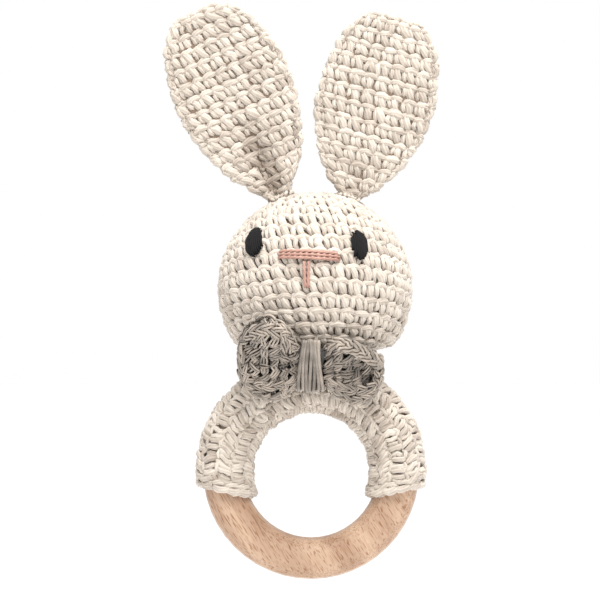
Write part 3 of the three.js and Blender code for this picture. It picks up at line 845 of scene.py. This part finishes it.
def sleeve_grid(tube_radius, rows=120, columns=200):
    """The sleeve's tube: rows run round the ring, and go round the tube from the back."""
    turn = round_turns(rows)[:, None] + np.pi / 2
    share = np.linspace(0, 1, columns)[None, :]
    radius = SLEEVE_RADIUS + tube_radius * np.cos(turn)
    end = sleeve_end_angle(radius)
    angle = -end + share * (np.pi + 2 * end)
    return vectors(radius * np.cos(angle), tube_radius * np.sin(turn), radius * np.sin(angle))


def sleeve_cells(rng):
    """Cells in rows round the ring, each row half a stitch on from the last and slanted the other way."""
    cells = []
    for row in range(SLEEVE_ROWS):
        odd = row % 2
        width = (1 if odd else -1) / SLEEVE_STITCHES
        for step in range(-1, SLEEVE_STITCHES + 1):
            place = (step + 0.5 + 0.5 * odd + rng.normal(0, 0.03)) / SLEEVE_STITCHES
            if 0.01 < place < 0.99:
                cells.append((place, (row + 0.5) / SLEEVE_ROWS, width, 1 / SLEEVE_ROWS))
    return cells


def add_sleeve_edges(builder, cloth):
    """The chains that end the sleeve: plump links laid along each cut edge, two yarns to a link."""
    height = 1 / EDGE_LINKS
    for end, heading in ((0.0, 1), (1.0, -1)):
        for inwards, lift in EDGE_RINGS:
            cells = []
            for link in range(EDGE_LINKS):
                turn = (link + 0.5 + builder.rng.normal(0, 0.06)) / EDGE_LINKS
                cells.append((end + heading * inwards, turn, heading * EDGE_UNIT, height))
            stitch(builder, cloth, cells, EDGE_LEGS, EDGE_LEG_RADIUS, jitter=0.03, lift=lift, steps=9)


def make_sleeve():
    """The sleeve's crochet, and the sheet under it that carries the fabric's flat size, darkened as painted
    shade where it shows between the stitches.
    """
    cloth = Cloth(sleeve_grid(TUBE_RADIUS), wraps=(True, False), overhangs=True, shade=SLEEVE_TONE)
    builder = Builder("sleeve_crochet")
    stitch(builder, cloth, sleeve_cells(builder.rng), SLEEVE_LEGS, SLEEVE_LEG_RADIUS, jitter=0.08,
           lift=SLEEVE_PUFF, tone=0.07, lobes=5)
    add_sleeve_edges(builder, cloth)
    crochet = builder.make("cream_yarn", "sleeve", "ring_sleeve")
    ground = Builder("sleeve_ground")
    outer, inner = (sleeve_grid(TUBE_RADIUS - depth, rows=80, columns=120) for depth in SLEEVE_GROUND_DEPTHS)
    # The sheet's dark tone is painted shade between the stitches.
    ground.add_tube(np.concatenate([outer, inner[:, ::-1]], axis=1), SLEEVE_GROUND_SHADE_TONE, closed=True)
    sheet = ground.make("cream_yarn", "sleeve")


# ---- The bow ----

def bow_back_y(x, z):
    """The back of the bow, as in the CAD model: upright at the bottom, leaning out under the chin."""
    share = np.clip((z - BOW_LEAN_HEIGHTS[0]) / (BOW_LEAN_HEIGHTS[1] - BOW_LEAN_HEIGHTS[0]), 0, 1)
    return BOW_BACK_Y - (BOW_LEAN - BOW_WRAP * x**2) * share * share * (3 - 2 * share)


def bow_middle_loop(x, angle, margin):
    """Places round the bow's drawn-in middle, from its back by its top and its front."""
    z = BOW_MIDDLE_HEIGHT + (BOW_MIDDLE_HALF_HEIGHT + margin) * np.sin(angle)
    depth = BOW_MIDDLE_THICKNESS / 2 - (BOW_MIDDLE_THICKNESS / 2 + margin) * np.cos(angle)
    return vectors(x, bow_back_y(x, z) - depth, z)


def wing_cloth(side):
    """One wing of the bow, as loops round it from the knot to its tip."""
    tree, points = node_tree("bow_panel")
    stations = np.unique(np.round(points[:, 0], 5))
    heights = [points[np.abs(points[:, 0] - station) < 1e-5, 2] for station in stations]
    tip = points[:, 0].min() if side == "left" else points[:, 0].max()
    spread = np.linspace(BOW_WING_START * np.sign(tip), tip * BOW_WING_END, 70)
    middle_z = np.interp(spread, stations, [(height.min() + height.max()) / 2 for height in heights])
    centres = []
    for x, z in zip(spread, middle_z):
        front = tree.ray_cast(Vector((x, -0.08, z)), Vector((0, 1, 0)), RAY_LENGTH)[0]
        back = tree.ray_cast(Vector((x, 0.05, z)), Vector((0, -1, 0)), RAY_LENGTH)[0]
        centres.append((x, (front.y + back.y) / 2, z))
    grid = wrap_node(tree, np.array(centres), (0, -1, 0), (0, 0, 1))
    reach = np.abs(spread) / abs(tip)
    dent = WING_DENTS[side]
    line = np.interp(reach, (0.2, 1.0), dent["heights"])[:, None] * MM
    along = np.exp(-(((reach - dent["middle"]) / dent["length"]) ** 2))[:, None]
    across = np.exp(-(((grid[..., 2] - line) / dent["width"]) ** 2))
    facing = np.clip((np.array(centres)[:, 1:2] - grid[..., 1]) / (2 * MM), 0, 1)
    hollow = along * across * facing
    grid[..., 1] += dent["depth"] * hollow
    # The dent's hollow is darkened: painted shade.
    return Cloth(grid, shade=1 - dent["dark"] * hollow)


def strand_bundle(builder, centres, facings, count, spacing, radius, tones=1.0, pinch=0.5, waviness=None):
    """Fine strands side by side along each of the centre lines, drawn together at both ends. Where a
    waviness is given, they waver by that much, and each has a tone of its own."""
    rng = builder.rng
    lines, steps = centres.shape[:2]
    across = unit(np.cross(np.gradient(centres, axis=1), facings))
    share = np.linspace(0, 1, steps)
    spread = pinch + (1 - pinch) * np.sin(np.pi * share)
    for strand in range(count):
        place = strand - (count - 1) / 2
        shift = place * spacing * spread[:, None] * across - place**2 * spacing * 0.18 * facings
        shade = tones
        if waviness is not None:
            size = rng.normal(0, waviness, (lines, 1))
            wave = np.sin(2 * np.pi * share + rng.uniform(0, 6, (lines, 1)))
            sway = (size * wave)[..., None]
            shift = shift + sway * across + np.abs(sway) * 0.5 * facings
            shade = tones * (1 + rng.normal(0, 0.1, lines))
        # Their ends darken as painted shade where they sink in.
        add_yarns(builder, centres + shift, facings, radius, lobes=3, groove=0.0, turn=0.0, tones=shade,
                  flatness=1.0, ends=0.6, end_painted_shade=0.5)


def wing_stitches(builder, cloth, side):
    """Loose stitches all over a wing, in columns from the knot to the tip."""
    rng = builder.rng
    length = cloth.lengths()[-1]
    route = np.linspace(-0.5, 0.5, len(BOW_STITCH_LIFTS))
    for column in range(BOW_COLUMNS):
        share = (column + 0.45) / BOW_COLUMNS
        girth = cloth.girth(int(share * (len(cloth.grid) - 1)))
        count = round(girth / BOW_STITCH_SPACING)
        for leg, lean in enumerate(BOW_LEANS[side]):
            shift = 0.5 * leg + 0.5 * (column % 2)
            turns = (np.arange(count) + shift + rng.normal(0, BOW_STITCH_SPREAD, count)) / count
            angles = lean + rng.normal(0, BOW_LEAN_SPREADS[side], count)[:, None]
            travel = BOW_STITCH_LENGTH * (1 + rng.normal(0, BOW_STITCH_SPREAD, count))[:, None] * route
            along = share + np.cos(angles) * travel / length
            across = turns[:, None] + np.sin(angles) * travel / girth
            lift = (BOW_STITCH_LIFTS + rng.normal(-0.4, 0.9, (count, 1))) * BOW_STRAND_RADIUS
            path = smooth_path(vectors(across, along, lift), 9)
            centres, facings = cloth.at(path[..., 0], path[..., 1], path[..., 2])
            tones = cloth.tone_at(turns, share) * (1 + rng.normal(0, 0.12, count))
            strand_bundle(builder, centres, facings, 2 + leg, BOW_STRAND_RADIUS * 2.6, BOW_STRAND_RADIUS,
                          waviness=BOW_STRAND_WAVINESS, tones=tones)


def chain(builder, place, facing, radius):
    """A crocheted chain along a line of places (step, 3): a V of two bundles for every link."""
    rng = builder.rng
    travel = travelled(place)
    count = round(travel[-1] / CHAIN_LINK)
    across = unit(np.cross(np.gradient(place, axis=0), facing))
    steps, outs, lifts = np.array(CHAIN_LEG).T

    def along(share, field):
        return np.stack([np.interp(share * travel[-1], travel, part) for part in field.T], axis=-1)

    for side in (-1, 1):
        starts = np.arange(count)[:, None] + steps
        share = np.clip((starts + rng.normal(0, 0.09, (count, len(steps)))) / count, 0, 1)
        sideways = along(share, across) * (outs * CHAIN_SPREAD * CHAIN_LINK * side)[:, None]
        upright = along(share, facing)
        centres = smooth_path(along(share, place) + sideways + upright * (lifts * radius * 2)[:, None], 9)
        facings = unit(smooth_path(upright, 9))
        strand_bundle(builder, centres, facings, 2, radius * 2.5, radius, waviness=0.0,
                      tones=1.02 + rng.normal(0, 0.07, count))


def wing_rims(builder, cloth, side):
    """Chains along the wing's upper and lower edges, and round its tip."""
    for start, end, size in WING_CHAINS[side]:
        turns, shares = np.linspace(start, end, 60).T
        place, normal = cloth.at(turns, shares, CHAIN_LIFT)
        chain(builder, place, normal, BOW_STRAND_RADIUS * size)


def make_bow():
    """Both wings of the bow with their rims, and the ground that runs on through its middle."""
    builder = Builder("bow_crochet")
    ground = Builder("bow_ground")
    for side in ("left", "right"):
        cloth = wing_cloth(side)
        # The wing's ground is darkened as painted shade between its strands.
        ground.add_tube(cloth.inset(BOW_BACKING_DEPTH), BOW_WING_GROUND_SHADE_TONE)
        wing_stitches(builder, cloth, side)
        wing_rims(builder, cloth, side)
    angles = round_turns(48)
    middle = [bow_middle_loop(x, angles, -BOW_BACKING_DEPTH / 2)
              for x in np.linspace(-BOW_WING_START, BOW_WING_START, 12)]
    # The middle's ground is darkened the same way: painted shade between the stitches.
    ground.add_tube(np.array(middle), BACKING_SHADE_TONE)
    padded = ground.make("grey_yarn", "head", "bow_panel")
    builder.make("grey_yarn", "head")


def make_knot():
    """Yarn wound side by side round the bow's middle, spreading towards the lower end."""
    builder = Builder("bow_knot_yarn")
    rng = builder.rng
    low_half_width, high_half_width = KNOT_HALF_WIDTHS
    angles = np.linspace(0, 2 * np.pi, 65)
    half_width = low_half_width + (high_half_width - low_half_width) * (1 + np.sin(angles)) / 2
    for strand in range(KNOT_STRANDS):
        share = (strand + 0.5) / KNOT_STRANDS * 2 - 1
        wander = KNOT_WANDER * np.sin(angles * 2 + rng.uniform(0, 6))
        x = share * half_width + wander + KNOT_SHIFT
        margin = KNOT_MARGIN + KNOT_BULGE * (1 - share**2) + rng.normal(0, 0.12 * MM)
        centres = bow_middle_loop(x, angles, margin)
        facing = unit(centres - bow_middle_loop(x, angles, 0))
        add_yarns(builder, centres[None], facing[None], KNOT_STRAND_RADIUS, lobes=4, turn=0.3, groove=0.08,
                  valley_painted_shade=0.9, tones=0.8 + rng.normal(0, 0.09), flatness=1.0, ends=0.95)
    builder.make("grey_yarn", "head", "bow_knot")


def make_bow_sewing():
    """The doubled sewing yarn that holds the bow's back under the chin."""
    builder = Builder("bow_sewing_yarn")
    centres = smooth_path(np.array(BOW_SEWING_ROUTE) * MM, 40)[None]
    upright = np.array([0, 0, 1.0])
    strand_bundle(builder, centres, upright, 2, BOW_SEWING_SPACING, BOW_SEWING_RADIUS, pinch=1.0)
    builder.make("grey_yarn", "head", "bow_stitches")


# ---- The face ----

def eye_places(eye, east, north, lift):
    """Places on the head, east and north of an eye's middle along its own tilted axes."""
    turned_east = east * math.cos(eye["tilt"]) + north * math.sin(eye["tilt"])
    turned_north = north * math.cos(eye["tilt"]) - east * math.sin(eye["tilt"])
    parallel = HEAD_RADIUS * math.cos(math.radians(eye["latitude"]))
    longitude = eye["longitude"] + np.degrees(turned_east / parallel)
    latitude = eye["latitude"] + np.degrees(turned_north / HEAD_RADIUS)
    return on_head(latitude, longitude, lift)


def make_eye(side):
    """An oval of satin stitches laid side by side over the crochet, and the black ground behind them, darker
    still as painted shade between the strands.
    """
    eye = EYES[side]
    builder = Builder(f"{side}_eye_stitches")
    rng = builder.rng
    share = np.linspace(-1, 1, 11)
    for strand in range(EYE_STRANDS):
        across = (strand + 0.5) / EYE_STRANDS * 2 - 1
        outline = (1 - abs(across * 0.95) ** 2.4) ** (1 / 2.2)
        half_height = outline * eye["half_height"] * (1 + rng.normal(0, 0.03))
        if side == "right" and across < -0.3:
            # This eye's inner edge is ragged.
            half_height *= 0.78 + 0.28 * (strand % 2)
        east = np.full(len(share), across * eye["half_width"])
        north = share * half_height + rng.normal(0, 0.15 * MM)
        lift = EYE_LIFT * (1 - share**4) - EYE_SINK * share**12 + EYE_BULGE * (1 - across**2)
        centres = eye_places(eye, east, north, lift)[None]
        add_yarns(builder, centres, unit(centres - HEAD_CENTRE), EYE_STRAND_RADIUS, lobes=4, groove=0.15,
                  tones=1 + rng.normal(0, 0.06), ends=0.75)
    ring = round_turns(24)
    ground = []
    for reach, lift in EYE_GROUND:
        east = reach * eye["half_width"] * np.cos(ring)
        north = reach * eye["half_height"] * np.sin(ring)
        ground.append(eye_places(eye, east, north, lift))
    # The ground's lower tone is painted shade between the strands.
    builder.add_tube(np.array(ground), EYE_GROUND_SHADE_TONE)
    builder.make("black_yarn", "head", f"{side}_eye")


def make_face_strand(feature, place, latitude, longitude):
    """One embroidered pass of plied yarn across the face, that sinks into the crochet at both ends."""
    builder = Builder(f"{feature}_yarn_{place}")
    share = np.linspace(-1, 1, len(latitude))
    lift = FACE_YARN_LIFT - FACE_YARN_SINK * np.abs(share) ** 16
    centres = on_head(latitude, longitude, lift)[None]
    add_yarns(builder, centres, unit(centres - HEAD_CENTRE), FACE_YARN_RADIUS, lobes=3, turn=1.5, groove=0.4,
              valley_painted_shade=0.66, flatness=0.95, ends=0.9)
    builder.make("pink_yarn", "head", f"{feature}_strand_{place}")


def make_nose():
    """Three passes of yarn side by side, which arch a little and slope down to the right."""
    share = np.linspace(0, 1, 81)
    arch = np.sin(share * np.pi)
    for number, (place, inset) in enumerate(NOSE_INSETS.items()):
        start, end = NOSE_LONGITUDES
        longitude = start + inset + (end - start - 2 * inset) * share
        rise = (number - 1) * (NOSE_SPACING + NOSE_SPACING_RISE * arch)
        latitude = NOSE_LATITUDE + NOSE_RISE * arch - NOSE_DROP * share + rise
        make_face_strand("nose", place, latitude, longitude)


def make_mouth():
    """Two strands down from the nose, which draw together."""
    share = np.linspace(0, 1, 41)
    top, bottom = MOUTH_LATITUDES
    for place, sign in (("left", -1), ("right", 1)):
        half_width = MOUTH_HALF_WIDTH - MOUTH_NARROWING * share**1.5
        longitude = MOUTH_LONGITUDE + sign * half_width + MOUTH_SHIFT * share
        make_face_strand("mouth", place, top + (bottom - top) * share, longitude)


# ---- The seams ----

def whip_stitches(builder, starts, ends, bulge, radius):
    """Sewing yarn that crosses a seam over and over: one short stitch from each start to its end."""
    rng = builder.rng
    middle = (starts + ends) / 2 + bulge
    before = starts + (starts - middle) * SEAM_OVERSHOOT - bulge * SEAM_SINK
    after = ends + (ends - middle) * SEAM_OVERSHOOT - bulge * SEAM_SINK
    controls = np.stack([before, starts, middle, ends, after], axis=1)
    centres = smooth_path(controls + rng.normal(0, SEAM_JITTER, controls.shape), 9)
    tones = 1 + rng.normal(0, 0.05, len(starts))
    add_yarns(builder, centres, unit(bulge)[..., None, :], radius, lobes=5, groove=0.2, tones=tones)


def make_ear_seam(side, cloth):
    """Stitches all round an ear's base, from the head up on to the ear."""
    turns = np.arange(EAR_SEAM_STITCHES) / EAR_SEAM_STITCHES
    foot, _ = cloth.at(turns, 0.0, EAR_SEAM_LIFTS[0])
    starts = HEAD_CENTRE + unit(foot - HEAD_CENTRE) * (HEAD_RADIUS - 0.3 * MM)
    slant = 0.3 / EAR_SEAM_STITCHES
    ends, facings = cloth.at(turns + slant, EAR_SEAM_REACH, EAR_SEAM_LIFTS[1])
    builder = Builder(f"{side}_ear_seam_yarn")
    whip_stitches(builder, starts, ends, facings * 0.5 * MM, EAR_SEAM_RADIUS)
    builder.make("cream_yarn", "head", f"{side}_ear_stitches")


def neck_loop(turns, reach, height):
    """Places round the neck: height 0 is on the sleeve, and 1 is at the head's base."""
    x, y = reach * np.cos(turns), reach * np.sin(turns)
    tube = np.sqrt(TUBE_RADIUS**2 - y**2)
    low = np.sqrt((SLEEVE_RADIUS + tube) ** 2 - x**2)
    high = HEAD_CENTRE[2] - HEAD_BASE_DROP
    return vectors(x, y, low + (high - low) * height)


def make_neck_seam():
    """The drawn-in edge of the head's crochet, and the stitches round it that sew it to the sleeve."""
    turns = round_turns(NECK_SEAM_STITCHES)
    low_reach, high_reach = NECK_SEAM_REACHES
    low_rise, high_rise = NECK_SEAM_RISES
    starts = neck_loop(turns, low_reach, 0.0) + (0, 0, low_rise)
    ends = neck_loop(turns + np.pi / NECK_SEAM_STITCHES, high_reach, 1.0) + (0, 0, high_rise)
    bulge = vectors(np.cos(turns), np.sin(turns), 0) * NECK_SEAM_BULGE
    builder = Builder("neck_seam_yarn")
    whip_stitches(builder, starts, ends, bulge, NECK_SEAM_RADIUS)
    turns = round_turns(60)
    outer = [neck_loop(turns, reach, height) for reach, height in NECK_BAND]
    inner = [neck_loop(turns, reach - NECK_BAND_DEPTH, height) for reach, height in reversed(NECK_BAND)]
    # The band's dark tone is painted shade behind the stitches.
    builder.add_tube(np.array(outer + inner), NECK_BAND_SHADE_TONE, closed=True)
    piece = builder.make("cream_yarn", node="neck_stitches")
    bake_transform(piece)


def make_sleeve_seam():
    """Slanted stitches along the back of the sleeve, where its two long edges meet."""
    share = np.linspace(SLEEVE_SEAM_MARGIN, 1 - SLEEVE_SEAM_MARGIN, SLEEVE_SEAM_STITCHES)
    end = sleeve_end_angle(SLEEVE_RADIUS)
    arc = math.pi + 2 * end

    def place(angle, reach):
        radius = SLEEVE_RADIUS + reach
        y = math.sqrt(TUBE_RADIUS**2 - reach**2) - 0.1 * MM
        return vectors(radius * np.cos(angle), y, radius * np.sin(angle))

    slant = arc / SLEEVE_SEAM_STITCHES * SLEEVE_SEAM_SLANT
    starts = place(share * arc - end, -SLEEVE_SEAM_HALF_WIDTH)
    ends = place(share * arc - end + slant, SLEEVE_SEAM_HALF_WIDTH)
    builder = Builder("sleeve_seam_yarn")
    whip_stitches(builder, starts, ends, np.array([0, SLEEVE_SEAM_BULGE, 0]), SLEEVE_SEAM_RADIUS)
    builder.make("cream_yarn", "sleeve", "sleeve_seam")


# ---- Stage, light and camera ----

def make_floor():
    """A pale floor, which glows a little so that it stays white in the picture."""
    low, high = -FLOOR_HALF_WIDTH, FLOOR_HALF_WIDTH
    corners = [(x, y, FLOOR_HEIGHT) for x, y in ((low, low), (high, low), (high, high), (low, high))]
    mesh = bpy.data.meshes.new("floor")
    mesh.from_pydata(corners, [], [(0, 1, 2, 3)])
    floor = add_object("floor", mesh)
    material, _, _ = new_material("pale_floor", {
        "Base Color": (0.9, 0.9, 0.9, 1), "Roughness": 0.9,
        "Emission Color": (1, 1, 1, 1), "Emission Strength": 0.12})
    mesh.materials.append(material)


def make_light(name, place, size, power):
    """A round light that faces the toy."""
    data = bpy.data.lights.new(name, "AREA")
    data.shape = "DISK"
    data.size = size
    data.energy = power
    light = add_object(name, data)
    light.location = place
    light.rotation_mode = "QUATERNION"
    light.rotation_quaternion = (Vector(LIGHT_TARGET) - Vector(place)).to_track_quat("-Z", "Y")


def make_world():
    """Even white light from all round."""
    world = bpy.data.worlds.new("studio")
    world.use_nodes = True
    world.node_tree.nodes["Background"].inputs["Color"].default_value = (1, 1, 1, 1)
    bpy.context.scene.world = world


def make_camera():
    """A level camera in front, which sees the picture's width at the ring's plane."""
    data = bpy.data.cameras.new("camera")
    data.sensor_width = 36
    data.lens = data.sensor_width * CAMERA_DISTANCE / PICTURE_WIDTH
    camera = add_object("camera", data)
    x, z = PICTURE_MIDDLE
    camera.location = (x, -CAMERA_DISTANCE, z)
    camera.rotation_euler = (math.pi / 2, 0, 0)
    bpy.context.scene.camera = camera


dress_nodes()
make_head()
for ear_side in ("left", "right"):
    make_ear(ear_side)
    make_eye(ear_side)
make_nose()
make_mouth()
make_sleeve()
make_sleeve_seam()
make_neck_seam()
make_bow()
make_knot()
make_bow_sewing()

make_camera()
make_floor()
make_world()
for light_name, light in LIGHTS.items():
    make_light(light_name, **light)
bpy.context.scene.view_settings.view_transform = "Standard"
